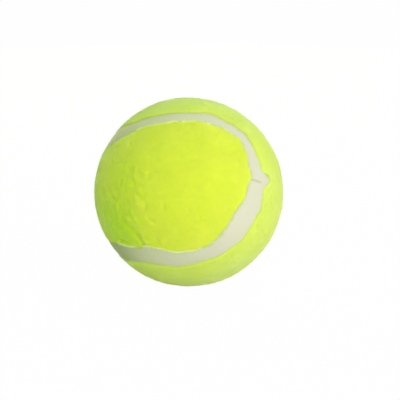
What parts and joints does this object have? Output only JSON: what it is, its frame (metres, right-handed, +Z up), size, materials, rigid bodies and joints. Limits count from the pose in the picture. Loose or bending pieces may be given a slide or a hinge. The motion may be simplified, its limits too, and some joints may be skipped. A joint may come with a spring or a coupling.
{
  "type": "dog ball",
  "caption": "Felt-covered rubber dog ball with a hollow core, two interlocking dumbbell felt panels and a white rubber seam strip between them.",
  "frame": {"origin": "the ball's centre", "axes": "+Z up through the ball's centre, square to the joint of the core's two halves; -Y is the side that the picture shows, with the seam's join to the right"},
  "size_m": [0.0649, 0.065, 0.0649],
  "materials": {
    "core_rubber": "buffed",
    "cement": "satin",
    "felt": "napped",
    "seam_rubber": "satin"
  },
  "bodies": {
    "root": {"core_half_lower": "core_rubber", "core_half_upper": "core_rubber", "core_joint_cement": "cement", "cover_cement_a": "cement", "cover_cement_b": "cement", "felt_panel_a": "felt", "felt_panel_b": "felt", "seam_strip": "seam_rubber"}
  },
  "joints": []
}
